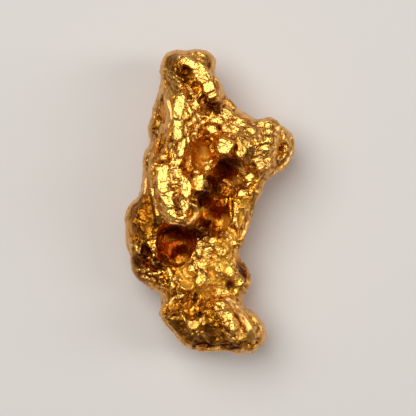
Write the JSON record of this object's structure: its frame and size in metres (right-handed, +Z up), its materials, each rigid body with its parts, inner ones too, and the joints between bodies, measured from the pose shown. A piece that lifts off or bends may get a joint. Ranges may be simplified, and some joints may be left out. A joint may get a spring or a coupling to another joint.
{
  "type": "gold nugget",
  "caption": "Natural gold nugget lying on its back: a narrow head, a hanging tongue, a knob, a side lobe and a broad foot, with deep smooth hollows in a crumpled front.",
  "frame": {"origin": "middle of the length and width, on the plane that the back rests on", "axes": "+Y along the nugget towards its narrow head, +Z up out of its crumpled front, +X towards the side lobe"},
  "size_m": [0.0136, 0.0244, 0.0086],
  "materials": {
    "gold": "native gold, polished on its crests and matt in its hollows"
  },
  "bodies": {
    "root": {"nugget": "gold"}
  },
  "joints": []
}
